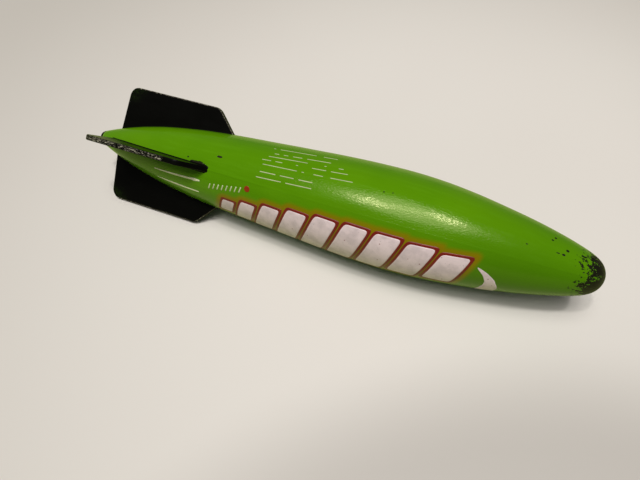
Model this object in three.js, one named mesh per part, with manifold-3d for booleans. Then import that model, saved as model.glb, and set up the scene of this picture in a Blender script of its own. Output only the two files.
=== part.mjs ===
// A hand-thrown underwater torpedo toy: a hollow body of soft vinyl, filled with water through its
// tail and closed with a plug, and four flat fins that stand in an X round the tail. Nothing moves.
// Millimetres. The axis is X and the nose points along +X, +Z is up, and the origin is on the axis
// at mid-length. While it is being built, x is counted from the tail's end face.
import * as THREE from "three";
import { mergeVertices } from "three/addons/utils/BufferGeometryUtils.js";
import Module from "manifold-3d";

// Body
const LENGTH = 300;
// The outer radius is a smooth curve (a uniform cubic B-spline) in u = sqrt(1 - x / LENGTH), which
// runs from 0 at the nose's tip to 1 at the tail and makes the tip round. These values steer it.
const RADII = [-8.7, 0, 8.7, 13, 18.3, 23.1, 28.1, 27.6, 24.1, 21, 8, -31.6];
const WALL = 2.8;
const CAVITY_START = 20; // the tail is solid behind this
const NECK_RADIUS = 2.2; // the filling hole
const WATER_LEVEL = 17.2; // height over the axis of the water's surface; air above it trims the weight
const GAP = 0.3; // between pieces that touch

// Plug
const PLUG_HEAD = 1.5;
const PLUG_END = 19;
const PLUG_LEAD_IN = 1; // length of its narrowed end, which is half as much smaller in radius
const PLUG_RADIUS = NECK_RADIUS - GAP;

// Fins: outline in the plane of x and distance from the axis
const FIN = {
  thickness: 3,
  edge: 0.4, // chamfer along the outline
  tip: 35.2, // distance of the outer edge from the axis
  tipBack: 14.9,
  tipFront: 76.8,
  rootBack: 12.9,
  rootFront: 89,
  backCorner: 5.5,
  frontCorner: 2.4,
  seat: 0.7, // how deep the root sits in the body
  frontFoot: 2, // how far under the body's surface the front edge stops sloping
};
const FINS = [
  { name: "fin_upper_left", angle: 45 },
  { name: "fin_upper_right", angle: 135 },
  { name: "fin_lower_right", angle: 225 },
  { name: "fin_lower_left", angle: 315 },
];

// Facets
const SIDES = 48;
const OUTER_STEPS = 32;
const INNER_STEPS = 20;

const wasm = await Module();
wasm.setup();

const material = (color, roughness, extra = {}) =>
  new THREE.MeshStandardMaterial({ color, roughness, metalness: 0, ...extra });
const PAINT = material(0x5a9a05, 0.38);
const VINYL = material(0x0c0d0c, 0.55);
const WATER = material(0xbcd8e0, 0.1, { transparent: true, opacity: 0.5 });

function solid(geometry) {
  const bare = geometry.clone();
  bare.deleteAttribute("normal");
  bare.deleteAttribute("uv");
  const merged = mergeVertices(bare, 1e-4);
  return new wasm.Manifold(
    new wasm.Mesh({
      numProp: 3,
      vertProperties: merged.attributes.position.array,
      triVerts: new Uint32Array(merged.index.array),
    }),
  );
}

function geometryOf(manifold) {
  const { vertProperties, triVerts } = manifold.getMesh();
  const geometry = new THREE.BufferGeometry();
  geometry.setAttribute("position", new THREE.BufferAttribute(vertProperties, 3));
  geometry.setIndex(new THREE.BufferAttribute(triVerts, 1));
  const faceted = geometry.toNonIndexed();
  faceted.computeVertexNormals();
  return faceted;
}

// The outer radius at u.
function radiusAtU(u) {
  const at = u * (RADII.length - 3);
  const i = Math.min(Math.floor(at), RADII.length - 4);
  const t = at - i;
  const [a, b, c, d] = RADII.slice(i, i + 4);
  const before = (1 - t) ** 3 * a + (4 - 6 * t * t + 3 * t ** 3) * b;
  const after = (1 + 3 * t + 3 * t * t - 3 * t ** 3) * c + t ** 3 * d;
  return (before + after) / 6;
}

const uAt = (x) => Math.sqrt(Math.max(0, 1 - x / LENGTH));
const xAt = (u) => LENGTH * (1 - u * u);
const radiusAt = (x) => radiusAtU(uAt(x));

// The point at u on the surface that lies `depth` inside the body's outer one, as (radius, x).
function pointInside(u, depth) {
  const step = 1e-4;
  const along = new THREE.Vector2(
    radiusAtU(u + step) - radiusAtU(Math.max(0, u - step)),
    xAt(u + step) - xAt(Math.max(0, u - step)),
  ).normalize();
  const radius = radiusAtU(u) + along.y * depth;
  return new THREE.Vector2(Math.max(0, radius), xAt(u) - along.x * depth);
}

// The outline from the nose's tip back to x = from, `depth` inside the outer surface.
function outline(depth, from, steps) {
  const last = uAt(from);
  const points = [new THREE.Vector2(0, LENGTH - depth)];
  for (let i = 1; i <= steps; i++) points.push(pointInside((last * i) / steps, depth));
  points[steps].y = from;
  return points;
}

// Turns an outline of (radius, x) points, given from the nose back to the tail, round the X axis.
function turned(points) {
  const geometry = new THREE.LatheGeometry(points.toReversed(), SIDES);
  return geometry.rotateZ(-Math.PI / 2);
}

const point = (radius, x) => new THREE.Vector2(radius, x);

// The body's solid shape `depth` inside its outer surface, used to cut the fins' roots.
const core = (depth) => solid(turned([...outline(depth, GAP, OUTER_STEPS), point(0, GAP)]));

// A fin's plate, `grow` larger all round. It runs in to near the axis, until the body is cut away.
function finPlate(grow) {
  const f = FIN;
  const lowest = 3;
  const backSlope = (f.tipBack - f.rootBack) / (f.tip - radiusAt(f.rootBack));
  const frontSlope = (f.rootFront - f.tipFront) / (f.tip - radiusAt(f.rootFront));
  const frontFoot = radiusAt(f.rootFront) - f.frontFoot;
  const backAt = (r) => f.tipBack - backSlope * (f.tip - r) - grow;
  const frontAt = (r) => f.tipFront + frontSlope * (f.tip - r) + grow;
  const tip = f.tip + grow;
  const shape = new THREE.Shape();
  shape.moveTo(backAt(lowest), lowest);
  shape.lineTo(backAt(tip - f.backCorner), tip - f.backCorner);
  shape.quadraticCurveTo(backAt(tip), tip, backAt(tip) + f.backCorner, tip);
  shape.lineTo(frontAt(tip) - f.frontCorner, tip);
  shape.quadraticCurveTo(frontAt(tip), tip, frontAt(tip - f.frontCorner), tip - f.frontCorner);
  shape.lineTo(frontAt(frontFoot), frontFoot);
  shape.lineTo(frontAt(frontFoot), lowest);
  shape.closePath();
  const thickness = f.thickness + 2 * grow;
  const geometry = new THREE.ExtrudeGeometry(shape, {
    depth: thickness - 2 * f.edge,
    bevelEnabled: true,
    bevelThickness: f.edge,
    bevelSize: f.edge,
    bevelOffset: -f.edge,
    bevelSegments: 1,
    curveSegments: 6,
  });
  return geometry.translate(0, 0, f.edge - thickness / 2);
}

const placedAt = (geometry, angle) => geometry.rotateX(THREE.MathUtils.degToRad(angle));

function bodyShell() {
  const outside = outline(0, PLUG_HEAD + GAP, OUTER_STEPS);
  const inside = outline(WALL, CAVITY_START, INNER_STEPS).toReversed();
  const neck = [point(NECK_RADIUS, PLUG_HEAD + GAP), point(NECK_RADIUS, CAVITY_START)];
  let shell = solid(turned([...outside, ...neck, ...inside]));
  const grooveFloor = core(FIN.seat + GAP);
  for (const { angle } of FINS)
    shell = shell.subtract(solid(placedAt(finPlate(GAP), angle)).subtract(grooveFloor));
  return geometryOf(shell);
}

function fin(angle) {
  return geometryOf(solid(placedAt(finPlate(0), angle)).subtract(core(FIN.seat)));
}

function tailPlug() {
  return turned([
    point(0, PLUG_END),
    point(PLUG_RADIUS - PLUG_LEAD_IN / 2, PLUG_END),
    point(PLUG_RADIUS, PLUG_END - PLUG_LEAD_IN),
    point(PLUG_RADIUS, PLUG_HEAD),
    point(radiusAt(PLUG_HEAD), PLUG_HEAD),
    point(radiusAt(0), 0),
    point(0, 0),
  ]);
}

// Water in the cavity, level with WATER_LEVEL when the toy lies on its belly and lower fins.
function waterFill() {
  const start = CAVITY_START + GAP;
  const filled = solid(turned([...outline(WALL + GAP, start, INNER_STEPS), point(0, start)]));
  const air = new THREE.BoxGeometry(LENGTH, LENGTH, LENGTH);
  air.translate(LENGTH / 2, 0, WATER_LEVEL + LENGTH / 2);
  return geometryOf(filled.subtract(solid(air)));
}

const torpedo = new THREE.Group();
torpedo.position.x = -LENGTH / 2;

function add(name, geometry, made) {
  const mesh = new THREE.Mesh(geometry, made);
  mesh.name = name;
  torpedo.add(mesh);
}

add("body_shell", bodyShell(), PAINT);
for (const { name, angle } of FINS) add(name, fin(angle), VINYL);
add("tail_plug", tailPlug(), VINYL);
add("water_fill", waterFill(), WATER);

export default torpedo;
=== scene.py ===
import math

import bmesh
import bpy
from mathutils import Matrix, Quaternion, Vector, noise


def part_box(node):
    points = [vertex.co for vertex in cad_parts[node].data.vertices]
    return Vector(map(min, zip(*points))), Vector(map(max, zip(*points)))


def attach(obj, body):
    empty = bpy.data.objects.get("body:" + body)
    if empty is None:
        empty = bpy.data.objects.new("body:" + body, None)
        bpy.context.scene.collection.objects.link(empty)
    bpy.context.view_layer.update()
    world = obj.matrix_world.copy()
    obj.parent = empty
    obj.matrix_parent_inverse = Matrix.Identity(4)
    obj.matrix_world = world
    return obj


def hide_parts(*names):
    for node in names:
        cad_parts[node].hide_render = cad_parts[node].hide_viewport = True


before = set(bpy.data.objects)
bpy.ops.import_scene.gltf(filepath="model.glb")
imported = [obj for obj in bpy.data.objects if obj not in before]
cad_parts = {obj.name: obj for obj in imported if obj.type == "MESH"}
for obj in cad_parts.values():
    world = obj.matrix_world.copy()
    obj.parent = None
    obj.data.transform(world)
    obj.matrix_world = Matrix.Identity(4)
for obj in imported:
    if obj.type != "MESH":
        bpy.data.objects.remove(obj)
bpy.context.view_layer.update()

# The toy, in millimetres. x runs from the tail's end face (0) to the nose's tip (LENGTH), and angles
# go round the axis, from +Y (0) over the top (90) to the camera's side (180), in degrees.
MM = 0.001
TAIL_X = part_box("tail_plug")[0].x
LENGTH = (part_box("body_shell")[1].x - TAIL_X) / MM

# The CAD body's curve: the outer radius is a uniform cubic B-spline in u = sqrt(1 - x / LENGTH).
RADII = [-8.7, 0, 8.7, 13, 18.3, 23.1, 28.1, 27.6, 24.1, 21, 8, -31.6]
GAP = 0.3
WALL = 2.8
CAVITY_START = 20
NECK_RADIUS = 2.2
PLUG_HEAD = 1.5
PLUG_END = 19
PLUG_LEAD_IN = 1
PLUG_RADIUS = NECK_RADIUS - GAP
BODY_START = PLUG_HEAD + GAP

FIN = {
    "thickness": 3, "tip": 35.2, "tip_back": 14.9, "tip_front": 76.8, "root_back": 12.9,
    "root_front": 89, "back_corner": 5.5, "front_corner": 2.4, "edge": 0.65, "fillet": 0.5,
}
FINS = {
    "fin_upper_left": 45, "fin_upper_right": 135, "fin_lower_right": 225, "fin_lower_left": 315,
}
PARTING_ANGLES = (135, 315)


# ---------------------------------------------------------------- shapes

def radius_at_u(u):
    at = u * (len(RADII) - 3)
    i = min(int(at), len(RADII) - 4)
    t = at - i
    a, b, c, d = RADII[i:i + 4]
    before = (1 - t) ** 3 * a + (4 - 6 * t ** 2 + 3 * t ** 3) * b
    after = (1 + 3 * t + 3 * t ** 2 - 3 * t ** 3) * c + t ** 3 * d
    return (before + after) / 6


def u_at(x):
    return math.sqrt(max(0, 1 - x / LENGTH))


def x_at(u):
    return LENGTH * (1 - u * u)


def radius_at(x):
    return radius_at_u(u_at(x))


def outline_point(u, depth=0):
    """(x, radius) at u, `depth` inside the outer surface."""
    step = 1e-4
    low, high = max(0, u - step), u + step
    dx, dr = x_at(high) - x_at(low), radius_at_u(high) - radius_at_u(low)
    size = math.hypot(dx, dr)
    return x_at(u) - dr / size * depth, max(0, radius_at_u(u) + dx / size * depth)


def place(x, radius, angle):
    """A point of the toy, in the row frame and in metres."""
    turn = math.radians(angle)
    return Vector((TAIL_X + x * MM, radius * MM * math.cos(turn), radius * MM * math.sin(turn)))


def lerp(a, b, t):
    return a + (b - a) * t


def smooth(t):
    t = min(1, max(0, t))
    return t * t * (3 - 2 * t)


def finish_piece(name, bm, material, slot, *replaced):
    """Makes the mesh a smooth-shaded piece that rides on the toy, and stands for `replaced`."""
    bmesh.ops.recalc_face_normals(bm, faces=bm.faces)
    mesh = bpy.data.meshes.new(name)
    bm.to_mesh(mesh)
    bm.free()
    mesh.shade_smooth()
    mesh.materials.append(material)
    piece = bpy.data.objects.new(name, mesh)
    bpy.context.scene.collection.objects.link(piece)
    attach(piece, "root")
    if replaced:
        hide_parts(*replaced)
    return piece


def ring_faces(bm, rings, closed=True):
    """Joins each ring, or open row, of vertices to the next one."""
    for low, high in zip(rings, rings[1:]):
        count = len(low)
        for i in range(count if closed else count - 1):
            j = (i + 1) % count
            bm.faces.new((low[i], low[j], high[j], high[i]))


def close_ring(bm, ring, x):
    """Closes a ring with a fan of triangles to the axis at x."""
    centre = bm.verts.new(place(x, 0, 0))
    for a, b in zip(ring, ring[1:] + ring[:1]):
        bm.faces.new((centre, a, b))


# ---------------------------------------------------------------- body and plug

AROUND = 144
OUTER_STEPS = 300
INNER_STEPS = 70
RIM_ROUNDING = 0.5
PARTING_HEIGHT = 0.14
PARTING_HALF_WIDTH = 0.9
PARTING_FADE = (90, 150)  # the parting lines get lower between these x
WAVINESS = 0.16
WAVINESS_RADIUS = 12  # the relief fades out towards the tips, where the body is thinner than this


def body_angles():
    """Even steps round the body, with closer ones at the mould's parting lines."""
    angles = [360 * i / AROUND for i in range(AROUND)]
    for line in PARTING_ANGLES:
        angles += [line + side for side in (-1.6, -1, -0.5, 0.5, 1, 1.6)]
    return sorted(set(angles))


def waves(spot, along, across, offset=(0, 0, 0)):
    """Noise from -1 to 1 with waves of this length, in millimetres, along the toy and across it."""
    return noise.noise(Vector((spot.x / along, spot.y / across, spot.z / across)) + Vector(offset))


def relief(x, angle, radius):
    """How far the moulded surface stands off the ideal curve: slow waves, and the parting lines."""
    spot = place(x, radius, angle) / MM
    wave = waves(spot, 42, 24) + 0.35 * waves(spot, 13, 9, offset=(5, 9, 2))
    fade = smooth(radius / WAVINESS_RADIUS)
    height = WAVINESS * wave * fade
    start, end = PARTING_FADE
    parting = PARTING_HEIGHT * (0.4 + 0.6 * smooth((end - x) / (end - start)))
    for line in PARTING_ANGLES:
        off = abs((angle - line + 180) % 360 - 180)
        off_mm = math.radians(off) * radius
        if off_mm < PARTING_HALF_WIDTH:
            ridge = 0.5 + 0.5 * math.cos(math.pi * off_mm / PARTING_HALF_WIDTH)
            height += parting * ridge * fade
    return height


def body(paint):
    """The casing: its outer skin, the rim at the tail, the filling hole and the cavity inside."""
    bm = bmesh.new()
    glow = bm.verts.layers.float.new("glow")
    angles = body_angles()
    rings = []

    def add_ring(x, radius, outer=False):
        ring = []
        for angle in angles:
            lift = relief(x, angle, radius) if outer else 0
            vert = bm.verts.new(place(x, radius + lift, angle))
            vert[glow] = glow_at(x, angle) if outer else 0
            ring.append(vert)
        rings.append(ring)

    last = u_at(BODY_START + RIM_ROUNDING)
    for i in range(1, OUTER_STEPS + 1):
        add_ring(*outline_point(last * i / OUTER_STEPS), outer=True)
    rim = radius_at(BODY_START)
    for turn in (30, 60, 90):
        t = math.radians(turn)
        x = BODY_START + RIM_ROUNDING * (1 - math.sin(t))
        add_ring(x, rim - RIM_ROUNDING * (1 - math.cos(t)))
    add_ring(BODY_START, NECK_RADIUS)
    add_ring(CAVITY_START, NECK_RADIUS)
    last = u_at(CAVITY_START)
    for i in range(INNER_STEPS, 0, -1):
        x, radius = outline_point(last * i / INNER_STEPS, WALL)
        add_ring(max(x, CAVITY_START), radius)
    ring_faces(bm, rings)
    close_ring(bm, rings[0], LENGTH)
    close_ring(bm, rings[-1], LENGTH - WALL)
    return finish_piece("body_skin", bm, paint, "green_paint", "body_shell")


def plug(vinyl):
    """The plug's head, with a dimple and a rounded rim, and its stem in the filling hole."""
    edge, foot_edge = 0.45, 0.15
    dimple = [(0.15, 0), (0.12, 0.9), (0.04, 1.5)]
    top, foot = radius_at(0), radius_at(PLUG_HEAD)
    outline = dimple[1:] + [(0, top - edge)]
    for turn in (22, 45, 68, 90):
        t = math.radians(turn)
        outline.append((edge * (1 - math.cos(t)), top - edge * (1 - math.sin(t))))
    outline += [(PLUG_HEAD - foot_edge, foot), (PLUG_HEAD, foot - foot_edge)]
    outline += [(PLUG_HEAD, PLUG_RADIUS + 0.1), (PLUG_HEAD + 0.1, PLUG_RADIUS)]
    outline += [(PLUG_END - PLUG_LEAD_IN, PLUG_RADIUS), (PLUG_END, PLUG_RADIUS - PLUG_LEAD_IN / 2)]
    bm = bmesh.new()
    turns = range(0, 360, 6)
    rings = [[bm.verts.new(place(x, r, a)) for a in turns] for x, r in outline]
    ring_faces(bm, rings)
    close_ring(bm, rings[0], dimple[0][0])
    close_ring(bm, rings[-1], PLUG_END)
    return finish_piece("tail_plug_cap", bm, vinyl, "black_vinyl", "tail_plug")


# ---------------------------------------------------------------- fins

def corner(r, size):
    """How far a corner of the outline has come in at distance r from the axis."""
    up = r - (FIN["tip"] - size)
    return size - math.sqrt(max(0, size * size - up * up)) if up > 0 else 0


def back_x(r):
    slope = (FIN["tip_back"] - FIN["root_back"]) / (FIN["tip"] - radius_at(FIN["root_back"]))
    return FIN["tip_back"] - slope * (FIN["tip"] - r) + corner(r, FIN["back_corner"])


def front_x(r):
    slope = (FIN["root_front"] - FIN["tip_front"]) / (FIN["tip"] - radius_at(FIN["root_front"]))
    return FIN["tip_front"] + slope * (FIN["tip"] - r) - corner(r, FIN["front_corner"])


FIN_CHORD = 96
# The sections' places, as shares of the way from the outer edge to the root: closest at the edge
FIN_TIP_LEVELS = (0, 0.001, 0.003, 0.007, 0.013, 0.021, 0.032, 0.05, 0.075, 0.105, 0.14, 0.18)
FIN_LEVELS = FIN_TIP_LEVELS + tuple(lerp(0.22, 1, i / 11) for i in range(12))
RUBBED_FIN = "fin_upper_right"


def half_loop(x_back, x_front, half, edge):
    """One side of a section through the fin, from its back edge to its front edge, as (x, z)."""
    turns = [math.radians(a) for a in (0, 22.5, 45, 67.5, 90)]
    back = [(x_back + edge * (1 - math.cos(t)), half - edge * (1 - math.sin(t))) for t in turns]
    front = [(x_front - edge * (1 - math.cos(t)), half - edge * (1 - math.sin(t))) for t in turns]
    span = [(lerp(back[-1][0], front[-1][0], i / FIN_CHORD), half) for i in range(1, FIN_CHORD)]
    return back + span + front[::-1]


def fin_levels():
    """Sections from the foot of the root's fillet to the tip: lists of (x, distance from axis, z)."""
    f = FIN
    half, edge, fillet, tip = f["thickness"] / 2, f["edge"], f["fillet"], f["tip"]
    levels = []
    for turn, sunk in ((0, 0.5), (0, 0), (22.5, 0), (45, 0), (67.5, 0)):
        t = math.radians(turn)
        out, up = fillet * (1 - math.sin(t)), fillet * (1 - math.cos(t)) - sunk
        section = half_loop(f["root_back"] - out, f["root_front"] + out, half + out, edge + out)
        levels.append([(x, math.sqrt(radius_at(x) ** 2 - z * z) + up, z) for x, z in section])
    ends = [radius_at(f[k]) + fillet for k in ("root_back", "root_front")]
    for left in reversed(FIN_LEVELS):
        r_back, r_front = (lerp(tip, end, left) for end in ends)
        x_back, x_front = back_x(r_back), front_x(r_front)
        section = []
        for x, z in half_loop(x_back, x_front, half, edge):
            along = min(1, max(0, (x - x_back) / (x_front - x_back)))
            root_r = radius_at(lerp(f["root_back"], f["root_front"], along)) + fillet
            r = lerp(tip, root_r, left)
            q = tip - r
            thin = edge - math.sqrt(max(0, edge ** 2 - max(0, edge - q) ** 2))
            section.append((x, r, z - thin * z / half))
        levels.append(section)
    return levels


def scuff_and_edge_glint(x, r, rubbed):
    """How scuffed a fin is: in a narrow line along its outline, which is partly wear and partly a
    painted highlight on the edge's corners, or in a wide one if badly rubbed.
    """
    to_edge = min(x - back_x(r), front_x(r) - x, FIN["tip"] - r)
    if rubbed:
        return 0.66 * (1 - smooth(to_edge / 1.3)) * smooth((76 - x) / 12)
    return 1.1 * smooth(0.2 + to_edge / 0.3) * (1 - smooth((to_edge - 0.3) / 0.4))


def overspray(x, r):
    """1 at the fin's outer corner at the back, and 0 from 13 mm away."""
    return smooth(1 - math.hypot(FIN["tip"] - r, x - back_x(r)) / 13)


def fin(name, angle, vinyl):
    """A fin, with its outline rubbed down unevenly near its outer edge."""
    rubbed = name == RUBBED_FIN
    depth = 0.16 if rubbed else 0.05
    bm = bmesh.new()
    scuff_and_glint = bm.verts.layers.float.new("scuff_and_glint")
    spray = bm.verts.layers.float.new("spray")
    turn = math.radians(angle)
    out = Vector((0, math.cos(turn), math.sin(turn)))
    side = Vector((0, -math.sin(turn), math.cos(turn)))
    rings = []
    for section in fin_levels():
        ring = []
        for sign, points in ((1, section), (-1, section[::-1])):
            for x, r, z in points:
                rim = scuff_and_edge_glint(x, r, rubbed)
                rub = depth * rim * (noise.noise(Vector((x, r, z)) * 0.9) - 0.3)
                spot = out * (r + rub * smooth((r - 26) / 6)) + side * sign * z
                vert = bm.verts.new(Vector((TAIL_X + x * MM, 0, 0)) + spot * MM)
                # The scuff mask, which also carries painted highlight lines along the edges
                vert[scuff_and_glint] = rim
                vert[spray] = overspray(x, r)
                ring.append(vert)
        rings.append(ring)
    ring_faces(bm, rings)
    for ring in (rings[0], rings[-1]):
        size = len(ring)
        for i in range(size // 2 - 1):
            bm.faces.new((ring[i], ring[i + 1], ring[size - 2 - i], ring[size - 1 - i]))
    piece = finish_piece(name + "_blade", bm, vinyl, "black_vinyl", name)
    piece.modifiers.new("even_normals", "WEIGHTED_NORMAL")
    return piece


# ---------------------------------------------------------------- printed marks

# Places on the print are (x, s): s is the distance in millimetres round the body, down from the line
# along its right side (angle 180).
INK = 0.05


def film_point(x, s, lift):
    """The place of (x, s) on the print, `lift` over the body's skin."""
    radius = radius_at(x)
    angle = 180 + math.degrees(s / radius)
    lifted_x, lifted_radius = outline_point(u_at(x), -lift)
    return place(lifted_x, lifted_radius + relief(x, angle, radius), angle)


def film(bm, shape, columns, rows, layer=1):
    """Adds a thin film of ink to bm, `layer` times INK over the skin.

    shape(a, b) gives (x, s) for a and b from 0 to 1.
    """
    tops, feet = [], []
    for verts, lift in ((tops, INK * layer), (feet, -INK)):
        for i in range(columns + 1):
            column = [shape(i / columns, j / rows) for j in range(rows + 1)]
            verts.append([bm.verts.new(film_point(x, s, lift)) for x, s in column])
    for verts in (tops, feet):
        ring_faces(bm, verts, closed=False)

    def border(verts):
        last = [row[-1] for row in verts[1:-1]]
        first = [row[0] for row in verts[1:-1]]
        return verts[0] + last + verts[-1][::-1] + first[::-1]

    ring_faces(bm, [border(feet), border(tops)])


# The band on the right flank: leaning bars that grow towards the nose, with an outline and a glow
# that is full up to the first distance in GLOW and gone at the second
BAND_START = 99
BAND_LENGTH = 134
BAR_WIDTHS = (7.5, 9, 10.5, 11.5, 12.5, 13, 13.5, 14, 14)
BAR_GAP = 3.5
BAR_LEAN = 0.36
OUTLINE = 1.5
GLOW = (2.3, 5.2)


def along_band(x):
    return min(1, max(0, (x - BAND_START) / BAND_LENGTH))


def band_top(x):
    t = along_band(x)
    return -2.4 - 12.6 * math.sin(math.pi * t ** 0.9 * 0.74) ** 1.1


def band_bottom(x):
    t = along_band(x)
    return 3.2 + 8.6 * math.sin(math.pi * t ** 0.7) ** 0.8 + 2.6 * t


def bars():
    """(start, end) of each bar on the line s = 0."""
    x, found = BAND_START, []
    for width in BAR_WIDTHS:
        found.append((x, x + width))
        x += width + BAR_GAP
    return found


def bar_shape(start, end, grow):
    """A bar, `grow` larger all round, with its four corners pulled in so that they are round."""
    def shape(a, b):
        p, q = 2 * a - 1, 2 * b - 1
        pull = 1 - 0.07 * (p * q) ** 8
        middle, half = (start + end) / 2, (end - start) / 2 + grow
        top, bottom = band_top(middle) - grow, band_bottom(middle) + grow
        s = lerp(top, bottom, 0.5 + 0.5 * q * pull)
        return middle + half * p * pull - BAR_LEAN * s, s
    return shape


def glow_at(x, angle):
    """1 next to the bars and 0 away from them."""
    s = math.radians(angle - 180) * radius_at(x)
    nearest = GLOW[1]
    along = x + BAR_LEAN * s
    for start, end in bars():
        middle = (start + end) / 2
        dx = max(start - along, along - end, 0)
        ds = max(band_top(middle) - s, s - band_bottom(middle), 0)
        nearest = min(nearest, math.hypot(dx, ds))
    return 1 - smooth((nearest - GLOW[0]) / (GLOW[1] - GLOW[0]))


def stroke(points, widths):
    """A tapered line, smooth through (x, s) points, with its half width at each."""
    def shape(a, b):
        at = a * (len(points) - 1)
        i = min(int(at), len(points) - 2)
        t = at - i
        before, after = points[max(0, i - 1)], points[min(len(points) - 1, i + 2)]
        here, there = points[i], points[i + 1]

        def curve(k):
            leaving, arriving = (there[k] - before[k]) / 2, (after[k] - here[k]) / 2
            h = 2 * t ** 3 - 3 * t ** 2
            passed = (1 + h) * here[k] - h * there[k]
            return passed + (t ** 3 - 2 * t ** 2 + t) * leaving + (t ** 3 - t ** 2) * arriving

        tangent = Vector((there[0] - here[0], there[1] - here[1])).normalized()
        half = lerp(widths[i], widths[i + 1], t) * (2 * b - 1)
        return curve(0) - tangent.y * half, curve(1) + tangent.x * half
    return shape


def disc(x, s, radius):
    def shape(a, b):
        p, q = 2 * a - 1, 2 * b - 1
        return x + radius * p * math.sqrt(1 - q * q / 2), s + radius * q * math.sqrt(1 - p * p / 2)
    return shape


# Tapered strokes: their (x, s) points and half widths
SPEED_LINES = [
    ([(51, -5.3), (66, -7.2), (78, -8.8), (80.8, -9.1), (84.8, -9.6)], (0.22, 0.55, 0.6, 0.95, 0.35)),
    ([(52.4, 0.3), (68, -0.7), (83.6, -1.8)], (0.22, 0.62, 0.3)),
]
CRESCENT = (
    [(240.8, -8.4), (245.6, -4.4), (248.6, 0.6), (249, 6), (247, 13)], (0.2, 1.4, 2.7, 4, 4.2),
)

# A row of short slanted ticks, as (x, s): the first one's middle, the way from one tick to the next,
# and the way from a tick's middle to its end
TICKS = 8
FIRST_TICK = (91.5, -8.705)
NEXT_TICK = (2.8, -0.588)
HALF_TICK = (0.5, -1.7)
TICK_HALF_WIDTH = 0.34

DOT = (115.4, -14.8)
DOT_RADIUS = 1.7

# Worn hairlines over the band: start and end as (x, s), half width, and how much is rubbed away
HAIRLINE_STEP = 1.3
HAIRLINES = [
    ((121, -43.4), (160, -50.0), 0.22, 0.3), ((119.5, -38.6), (158, -45.1), 0.22, 0.3),
    ((118.6, -35.9), (166, -43.0), 0.2, 0.35), ((118.6, -33.2), (168, -40.3), 0.2, 0.3),
    ((118.8, -30.4), (172, -36.6), 0.2, 0.25), ((118.8, -26.0), (150.6, -29.5), 0.24, 0.1),
    ((119, -22.8), (151, -26.3), 0.24, 0.12),
]


def hairline(bm, start, end, half, rubbed):
    """A ruled line with pieces rubbed off it."""
    count = int((end[0] - start[0]) / HAIRLINE_STEP)
    shares = [i / count for i in range(count + 1)]
    point = [(lerp(start[0], end[0], t), lerp(start[1], end[1], t)) for t in shares]
    left = [0.5 + noise.noise(Vector((x * 0.45, s * 1.7, 3))) > rubbed for x, s in point]
    first = None
    for i in range(count + 1):
        if left[i] and first is None:
            first = i
        if first is not None and (not left[i] or i == count):
            last = i if left[i] else i - 1
            if last > first:
                film(bm, stroke([point[first], point[last]], (half, half)), 2 * (last - first), 2)
            first = None


def flank_band(white, red):
    """White bars over red ones that are larger all round, neighbours a little over each other."""
    bm_white, bm_red = bmesh.new(), bmesh.new()
    for i, (start, end) in enumerate(bars()):
        film(bm_red, bar_shape(start, end, OUTLINE), 30, 44, layer=1 + 0.3 * (i % 2))
        film(bm_white, bar_shape(start, end, 0), 30, 44, layer=2)
    finish_piece("flank_bar_outlines", bm_red, red, "red_print")
    finish_piece("flank_bars", bm_white, white, "white_print")


def small_ticks(ink):
    bm = bmesh.new()
    for i in range(TICKS):
        x, s = (first + i * step for first, step in zip(FIRST_TICK, NEXT_TICK))
        ends = [(x - HALF_TICK[0], s - HALF_TICK[1]), (x + HALF_TICK[0], s + HALF_TICK[1])]
        film(bm, stroke(ends, (TICK_HALF_WIDTH, TICK_HALF_WIDTH)), 4, 12)
    finish_piece("small_ticks", bm, ink, "white_print")


def prints():
    white = print_ink("white_ink", WHITE, 0.7)
    worn = print_ink("worn_white_ink", WORN_WHITE)
    flank_band(white, print_ink("red_ink", RED))

    bm = bmesh.new()
    film(bm, stroke(*CRESCENT), 48, 10)
    finish_piece("nose_crescent", bm, white, "white_print")

    bm = bmesh.new()
    for points, widths in SPEED_LINES:
        film(bm, stroke(points, widths), 40, 4)
    finish_piece("speed_lines", bm, print_ink("line_ink", LINE_WHITE), "white_print")

    small_ticks(worn)

    bm = bmesh.new()
    film(bm, disc(*DOT, DOT_RADIUS), 14, 14)
    finish_piece("small_dot", bm, print_ink("orange_ink", ORANGE), "red_print")

    bm = bmesh.new()
    for row in HAIRLINES:
        hairline(bm, *row)
    finish_piece("worn_hairlines", bm, worn, "white_print")


# ---------------------------------------------------------------- materials

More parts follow.
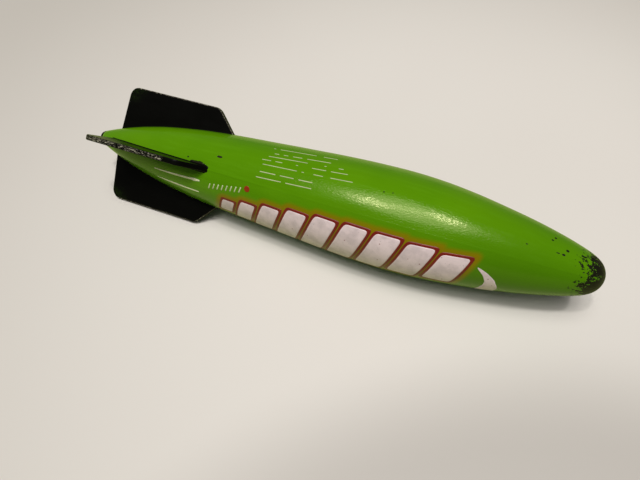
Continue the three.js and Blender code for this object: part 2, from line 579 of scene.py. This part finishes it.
class Graph:
    """A material's nodes. Its methods take sockets, numbers or colours and return a socket."""

    def __init__(self, name):
        self.material = bpy.data.materials.new(name)
        self.material.use_nodes = True
        self.tree = self.material.node_tree
        self.tree.nodes.clear()
        output = self.tree.nodes.new("ShaderNodeOutputMaterial")
        self.shader = self.tree.nodes.new("ShaderNodeBsdfPrincipled")
        self.tree.links.new(self.shader.outputs[0], output.inputs[0])

    def link(self, value, socket):
        if isinstance(value, bpy.types.NodeSocket):
            self.tree.links.new(value, socket)
        elif socket.type == "RGBA":
            socket.default_value = (*value, 1)
        else:
            socket.default_value = value

    def node(self, kind, inputs=(), **settings):
        made = self.tree.nodes.new(kind)
        for key, value in settings.items():
            setattr(made, key, value)
        for key, value in dict(inputs).items():
            self.link(value, made.inputs[key])
        return made

    def place(self):
        return self.node("ShaderNodeTexCoord").outputs["Object"]

    def axes(self, vector):
        return self.node("ShaderNodeSeparateXYZ", {0: vector}).outputs

    def stretch(self, vector, x, y=1, z=1):
        inputs = {0: vector, 1: (x, y, z)}
        return self.node("ShaderNodeVectorMath", inputs, operation="MULTIPLY").outputs[0]

    def shift(self, vector, by):
        return self.node("ShaderNodeVectorMath", {0: vector, 1: by}, operation="ADD").outputs[0]

    def math(self, operation, *values):
        return self.node("ShaderNodeMath", dict(enumerate(values)), operation=operation).outputs[0]

    def add(self, *values):
        total = values[0]
        for value in values[1:]:
            total = self.math("ADD", total, value)
        return total

    def times(self, a, b):
        return self.math("MULTIPLY", a, b)

    def either(self, *masks):
        top = masks[0]
        for mask in masks[1:]:
            top = self.math("MAXIMUM", top, mask)
        return top

    def ramp(self, value, low, high, to_low=0.0, to_high=1.0):
        """Goes smoothly from to_low, where value is low, to to_high, where it is high."""
        inputs = {"Value": value, "From Min": low, "From Max": high}
        inputs.update({"To Min": to_low, "To Max": to_high})
        return self.node("ShaderNodeMapRange", inputs, interpolation_type="SMOOTHSTEP").outputs[0]

    def length(self, vector):
        return self.node("ShaderNodeVectorMath", {0: vector}, operation="LENGTH").outputs["Value"]

    def far(self, at, centre, start, full):
        """0 at `start` metres from centre (x, y), and 1 at `full` metres and past it."""
        off = self.shift(at, (-centre[0], -centre[1], 0))
        return self.ramp(self.length(off), start, full)

    def noise(self, vector, per_metre, detail=2.0, roughness=0.5):
        inputs = {"Vector": vector, "Scale": per_metre, "Detail": detail, "Roughness": roughness}
        return self.node("ShaderNodeTexNoise", inputs).outputs[0]

    def cells(self, vector, per_metre):
        """(distance to the nearest cell's centre, a random number for that cell)"""
        made = self.node("ShaderNodeTexVoronoi", {"Vector": vector, "Scale": per_metre})
        return made.outputs["Distance"], self.axes(made.outputs["Color"])[0]

    def mix(self, factor, a, b):
        """Mixes two colours, which are inputs 6 and 7 and output 2 of the node."""
        made = self.node("ShaderNodeMix", data_type="RGBA")
        self.link(factor, made.inputs[0])
        self.link(a, made.inputs[6])
        self.link(b, made.inputs[7])
        return made.outputs[2]

    def attribute(self, name):
        return self.node("ShaderNodeAttribute", attribute_name=name).outputs["Fac"]

    def finish(self, colour, roughness, height=None, ior=1.47, level=0.5):
        """height is in metres."""
        self.link(colour, self.shader.inputs["Base Color"])
        self.link(roughness, self.shader.inputs["Roughness"])
        self.shader.inputs["IOR"].default_value = ior
        self.shader.inputs["Specular IOR Level"].default_value = level
        if height is not None:
            bump = self.node("ShaderNodeBump", {"Height": height, "Distance": 1.0, "Strength": 1.0})
            self.link(bump.outputs[0], self.shader.inputs["Normal"])
        return self.material


GREEN = (0.088, 0.265, 0.0001)
PALER_GREEN = (0.104, 0.288, 0.0002)
STREAK_GREEN = (0.112, 0.32, 0.003)
SPECK_GREEN = (0.066, 0.205, 0.0008)
# The colour of the painted shade low on the right flank and towards the nose
PAINTED_SHADE_GREEN = (0.055, 0.175, 0.0001)
GLOW_COLOUR = (0.26, 0.17, 0.0005)
WHITE = (0.87, 0.725, 0.755)
WORN_WHITE = (0.56, 0.62, 0.34)
LINE_WHITE = (0.93, 0.96, 0.64)
RED = (0.2, 0.008, 0.004)
ORANGE = (0.3, 0.028, 0.002)
BLACK = (0.0018, 0.0018, 0.0013)
BARE_BLACK = (0.001, 0.001, 0.0007)
DUSTY_BLACK = (0.003, 0.0025, 0.002)
SCUFF_GREY = (0.045, 0.036, 0.024)
# Pale scuffs, and painted highlights along the fins' edges
SCUFF_AND_GLINT_WHITE = (0.58, 0.57, 0.43)
OVERSPRAY_GREEN = (0.02, 0.045, 0.004)

# Chips in the paint: x, angle, length along the toy, width, all in millimetres and degrees
CHIPS = [
    (270.0, 89, 0.6, 0.5), (271.3, 82, 0.6, 0.5), (277.8, 97.5, 0.8, 0.6), (276.3, 108, 0.9, 0.5),
    (273.6, 108.5, 1.8, 0.25), (258.7, 112, 0.6, 0.35), (94.2, 112.8, 1.7, 0.55),
    (187.4, 105, 0.35, 0.35), (191.8, 103.5, 0.3, 0.3), (236, 300, 1.2, 0.7), (262, 240, 0.9, 0.6),
    (160, 20, 0.9, 0.4), (81.5, 129.8, 6.0, 1.3), (74.5, 124, 0.5, 0.4),
]


def chip_masks(g, at, ragged):
    """1 where the paint is chipped off, with ragged edges."""
    found = []
    for x, angle, length, width in CHIPS:
        centre = place(x, radius_at(x), angle)
        per_length, per_width = 1 / (length * MM), 1 / (width * MM)
        off = g.stretch(g.shift(at, tuple(-centre)), per_length, per_width, per_width)
        found.append(g.ramp(g.add(g.length(off), ragged), 1.12, 0.95))
    return g.either(*found)


def nose_wear(g, at, x, angle, ragged, coarse):
    """1 where the nose is worn bare: furthest low on the right and on top, breaking up into islands."""
    depth = g.math("SUBTRACT", TAIL_X + LENGTH * MM, x)
    low_side = g.math("COSINE", g.math("SUBTRACT", angle, math.radians(167)))
    top_side = g.math("COSINE", g.math("SUBTRACT", angle, math.radians(103)))
    lobes = g.add(g.ramp(low_side, 0.88, 0.98, 0.0, 0.0026), g.ramp(top_side, 0.9, 1.0, 0.0, 0.002))
    torn = g.times(ragged, g.ramp(top_side, 0.5, 0.9, 0.026, 0.05))
    reach = g.add(g.times(coarse, 0.006), torn, lobes, 0.0094)
    nose = g.ramp(g.math("SUBTRACT", reach, depth), -0.00008, 0.00012)
    far, pick = g.cells(g.stretch(at, 0.55), 820)
    islands = g.times(
        g.ramp(g.add(far, g.times(ragged, 0.9)), 0.4, 0.34),
        g.math("LESS_THAN", pick, g.ramp(depth, 0.009, 0.0145, 0.55, 0.0)),
    )
    return g.either(nose, islands)


def root_mask(g, x, y, z, coarse):
    """1 round the fins' roots, which were masked from the paint, with a ragged edge."""
    diagonal = math.sqrt(0.5)
    a = g.times(g.add(y, z), diagonal)
    b = g.times(g.math("SUBTRACT", y, z), diagonal)
    aside = g.math("MINIMUM", g.math("ABSOLUTE", a), g.math("ABSOLUTE", b))
    aside = g.math("MAXIMUM", g.math("SUBTRACT", aside, FIN["thickness"] / 2 * MM), 0.0)
    front = TAIL_X + (FIN["root_front"] - 1.6) * MM
    back = TAIL_X + FIN["root_back"] * MM
    ahead = g.math("MAXIMUM", g.math("SUBTRACT", x, front), g.math("SUBTRACT", back, x))
    ahead = g.math("MAXIMUM", ahead, 0.0)
    away = g.math("SQRT", g.add(g.times(aside, aside), g.times(ahead, ahead)))
    width = g.add(g.ramp(x, front - 0.024, front - 0.004, -0.0002, 0.0008), g.times(coarse, 0.0009))
    return g.ramp(g.math("SUBTRACT", width, away), -0.0001, 0.0001)


def green_coat(g, x, angle, tone, streaks, fine):
    """The paint's colour: slow changes of tone, streaks along the toy, fine specks, painted shade that
    darkens it low on the right and towards the nose, and the print's glow."""
    green = g.mix(g.ramp(tone, 0.3, 0.7), GREEN, PALER_GREEN)
    green = g.mix(g.ramp(streaks, 0.45, 0.75, 0.0, 0.35), green, STREAK_GREEN)
    green = g.mix(g.ramp(fine, 0.62, 0.75, 0.0, 0.25), green, SPECK_GREEN)
    # Painted shade: darker low on the right flank and towards the nose
    painted_shade_low_flank = g.ramp(g.math("COSINE", g.math("SUBTRACT", angle, math.radians(200))), -0.2, 0.9)
    painted_shade_low_flank = g.times(painted_shade_low_flank, g.ramp(x, -0.08, 0.08, 0.0, 0.5))
    green = g.mix(g.add(g.ramp(x, 0.06, 0.12, 0.0, 0.3), painted_shade_low_flank), green, PAINTED_SHADE_GREEN)
    return g.mix(g.times(g.attribute("glow"), 0.85), green, GLOW_COLOUR)


def painted_vinyl():
    """Glossy green paint over black vinyl, with a fine crackle, worn and chipped in places."""
    g = Graph("green_paint")
    at = g.place()
    x, y, z = g.axes(at)
    angle = g.math("ARCTAN2", z, y)
    fine = g.noise(at, 900, 3)
    ragged = g.math("SUBTRACT", g.noise(g.stretch(at, 0.6), 560, 5, 0.66), 0.5)
    coarse = g.math("SUBTRACT", g.noise(g.stretch(at, 0.5), 200, 3, 0.55), 0.5)
    tone = g.noise(at, 22, 2)
    streaks = g.noise(g.stretch(at, 0.06), 520, 2)
    crackle = g.noise(g.stretch(at, 0.45), 1500, 1, 0.5)

    bare = g.either(
        nose_wear(g, at, x, angle, ragged, coarse),
        chip_masks(g, at, g.times(ragged, 1.8)),
        root_mask(g, x, y, z, coarse),
    )
    black = g.mix(g.ramp(fine, 0.4, 0.7), BARE_BLACK, DUSTY_BLACK)
    colour = g.mix(bare, green_coat(g, x, angle, tone, streaks, fine), black)
    uneven = g.add(g.ramp(tone, 0.3, 0.7, 0.155, 0.18), g.ramp(streaks, 0.5, 0.8, 0.0, 0.06))
    gloss = g.add(uneven, g.times(bare, 0.34))
    height = g.add(
        g.times(bare, -0.00007),
        g.times(g.noise(at, 260, 2), 0.00004),
        g.times(g.ramp(streaks, 0.6, 0.8), -0.000005),
        g.times(crackle, 0.00007),
    )
    g.shader.inputs["Specular Tint"].default_value = (1, 0.98, 0.56, 1)
    return g.finish(colour, gloss, height, level=0.38)


def black_vinyl():
    """Soft black vinyl, with grey scuffs along worn edges, pale edge lines that are partly wear and
    partly painted highlight, and a little green overspray.
    """
    g = Graph("black_vinyl")
    at = g.place()
    rough = g.noise(g.stretch(at, 0.28), 2300, 4, 0.7)
    patches = g.noise(g.stretch(at, 0.4), 130, 3, 0.6)
    specks = g.noise(at, 1500, 2)
    scuff_and_glint_mask = g.attribute("scuff_and_glint")
    # Grey and pale scuffs; along the unrubbed fins' edges they are partly painted highlights
    worn = g.ramp(g.add(rough, g.times(patches, 0.6), g.times(scuff_and_glint_mask, 0.9)), 1.3, 1.5)
    worn = g.times(worn, g.ramp(scuff_and_glint_mask, 0.05, 0.3))
    spray = g.times(g.attribute("spray"), g.ramp(g.add(specks, g.times(patches, 0.5)), 0.72, 0.95))
    colour = g.mix(g.times(spray, 0.7), BLACK, OVERSPRAY_GREEN)
    grey = g.mix(g.ramp(rough, 0.5, 0.7), SCUFF_GREY, SCUFF_AND_GLINT_WHITE)
    colour = g.mix(worn, colour, grey)
    gloss = g.add(g.ramp(patches, 0.3, 0.7, 0.28, 0.36), g.times(worn, 0.3))
    height = g.add(g.times(g.noise(at, 420, 3), 0.00003), g.times(worn, -0.00005))
    return g.finish(colour, gloss, height, level=0.1)


def print_ink(name, colour, flecks=0.0):
    """Printed ink: slightly uneven, with fine specks rubbed off it and, if asked, red flecks."""
    g = Graph(name)
    at = g.place()
    cloud = g.noise(at, 160, 3, 0.6)
    specks = g.noise(at, 1300, 2)
    darker = tuple(0.8 * c for c in colour)
    darkest = tuple(0.45 * c for c in colour)
    tint = g.mix(g.ramp(cloud, 0.35, 0.7), colour, darker)
    tint = g.mix(g.ramp(specks, 0.66, 0.76, 0.0, 0.6), tint, darkest)
    far, pick = g.cells(at, 330)
    red = g.times(g.ramp(far, 0.16, 0.08, 0.0, flecks), g.math("LESS_THAN", pick, 0.22))
    tint = g.mix(red, tint, RED)
    return g.finish(tint, g.ramp(cloud, 0.3, 0.7, 0.36, 0.46), g.times(specks, 0.00001))


def water():
    """The filling, which the body hides: clear water with a slight cloudiness."""
    g = Graph("water")
    at = g.place()
    tint = g.mix(g.noise(at, 30, 2), (0.74, 0.85, 0.88), (0.66, 0.8, 0.84))
    g.shader.inputs["Transmission Weight"].default_value = 0.9
    return g.finish(tint, 0.05, ior=1.33)


# The floor's two mixed tones, and the painted shadows and light falloff over them: a point, the
# distance from it where the painted shadow starts and the one where it is full, in metres, and its
# colour
FLOOR_TONES = [(0.765, 0.735, 0.69), (0.79, 0.765, 0.72)]
FLOOR_PAINTED_SHADOWS = [
    ((0.19, 0.07), 0.1, 0.46, (0.57, 0.545, 0.5)),
    ((0.335, -0.12), 0.16, 0.03, (0.69, 0.665, 0.62)),
    ((0.36, -0.3), 0.295, 0.235, (0.545, 0.52, 0.485)),
]


def pale_floor():
    """A pale sheet, with painted shadow and light falloff that darken it towards two corners. It gives
    the toy less light than it shows, and a painted yellow-green tone in the toy's reflections of it.
    """
    g = Graph("pale_floor")
    at = g.place()
    tint = g.mix(g.ramp(g.noise(at, 3, 2), 0.3, 0.7), *FLOOR_TONES)
    for centre, start, full, painted_shadow in FLOOR_PAINTED_SHADOWS:
        # Painted shadow and light falloff over the floor
        tint = g.mix(g.far(at, centre, start, full), tint, painted_shadow)
    rays = g.node("ShaderNodeLightPath").outputs
    # A dimmer floor for bounced light, and a painted yellow-green reflection of it in the toy's sheen
    bounce_and_painted_reflection_tint = g.mix(rays["Is Glossy Ray"], (0.36, 0.37, 0.22), (0.47, 0.55, 0.2))
    tint = g.mix(rays["Is Camera Ray"], bounce_and_painted_reflection_tint, tint)
    return g.finish(tint, 0.55, g.times(g.noise(at, 150, 3), 0.00004))


# ---------------------------------------------------------------- scene

def camera():
    """The camera's place and aim in the row frame: it looks down on the toy from its right."""
    azimuth, elevation, roll = math.radians(23.64), math.radians(52.35), math.radians(-1.94)
    aim, distance = Vector((0.0109, -0.0276, 0)), 0.254
    flat = math.cos(elevation)
    back = Vector((math.sin(azimuth) * flat, -math.cos(azimuth) * flat, math.sin(elevation)))
    data = bpy.data.cameras.new("camera")
    data.lens = 27
    data.clip_start, data.clip_end = 0.01, 100
    made = bpy.data.objects.new("camera", data)
    made.rotation_mode = "QUATERNION"
    made.location = aim + back * distance
    made.rotation_quaternion = (-back).to_track_quat("-Z", "Y") @ Quaternion((0, 0, 1), roll)
    bpy.context.scene.collection.objects.link(made)
    bpy.context.scene.camera = made


def rest_plane():
    """The floor under the toy's belly and lower fins: (a point, its slope along x)."""
    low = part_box("fin_lower_left")[0]
    clearance = 0.0001
    start_x = TAIL_X + (FIN["tip_back"] + FIN["back_corner"]) * MM
    start = Vector((start_x, 0, low.z - clearance))
    slopes = []
    for x in range(100, 290, 2):
        belly = place(x, radius_at(x) + WAVINESS, 270)
        slopes.append((belly.z - start.z) / (belly.x - start.x))
    return start, min(slopes)


def floor():
    """A large sheet that the toy lies on."""
    start, slope = rest_plane()
    size = 12
    bm = bmesh.new()
    bmesh.ops.create_grid(bm, x_segments=8, y_segments=8, size=size)
    mesh = bpy.data.meshes.new("floor")
    bm.to_mesh(mesh)
    bm.free()
    mesh.materials.append(pale_floor())
    made = bpy.data.objects.new("floor", mesh)
    made.location = start
    made.rotation_euler = (0, -math.atan(slope), 0)
    bpy.context.scene.collection.objects.link(made)


def lamp(name, x, y, strength, width):
    """A soft lamp far above, towards x and y for each metre up, and its width in degrees."""
    data = bpy.data.lights.new(name, "SUN")
    data.angle = math.radians(width)
    data.energy = strength
    data.color = (1, 0.965, 0.925)
    made = bpy.data.objects.new(name, data)
    made.rotation_mode = "QUATERNION"
    made.rotation_quaternion = Vector((-x, -y, -1)).to_track_quat("-Z", "Y")
    bpy.context.scene.collection.objects.link(made)


def room():
    """A dim room, which looks as pale as the floor where the camera sees it directly."""
    world = bpy.data.worlds.new("room")
    world.use_nodes = True
    tree = world.node_tree
    background = tree.nodes["Background"]
    background.inputs["Color"].default_value = (1, 0.97, 0.94, 1)
    seen = tree.nodes.new("ShaderNodeLightPath")
    strength = tree.nodes.new("ShaderNodeMapRange")
    strength.inputs["To Min"].default_value = 0.1
    strength.inputs["To Max"].default_value = 0.7
    tree.links.new(seen.outputs["Is Camera Ray"], strength.inputs["Value"])
    tree.links.new(strength.outputs[0], background.inputs["Strength"])
    bpy.context.scene.world = world
    bpy.context.scene.view_settings.view_transform = "Standard"


camera()
body(painted_vinyl())
black = black_vinyl()
plug(black)
for fin_name, fin_angle in FINS.items():
    fin(fin_name, fin_angle, black)
prints()
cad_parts["water_fill"].data.materials.clear()
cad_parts["water_fill"].data.materials.append(water())
floor()
lamp("lamp_over_tail", -0.2, -0.29, 0.52, 4)
lamp("lamp_over_middle", 0.0, -0.22, 0.18, 6)
lamp("lamp_over_nose", 0.19, -0.14, 0.51, 4)
lamp("wide_lamp", 0.0, -0.24, 1.7, 40)
room()
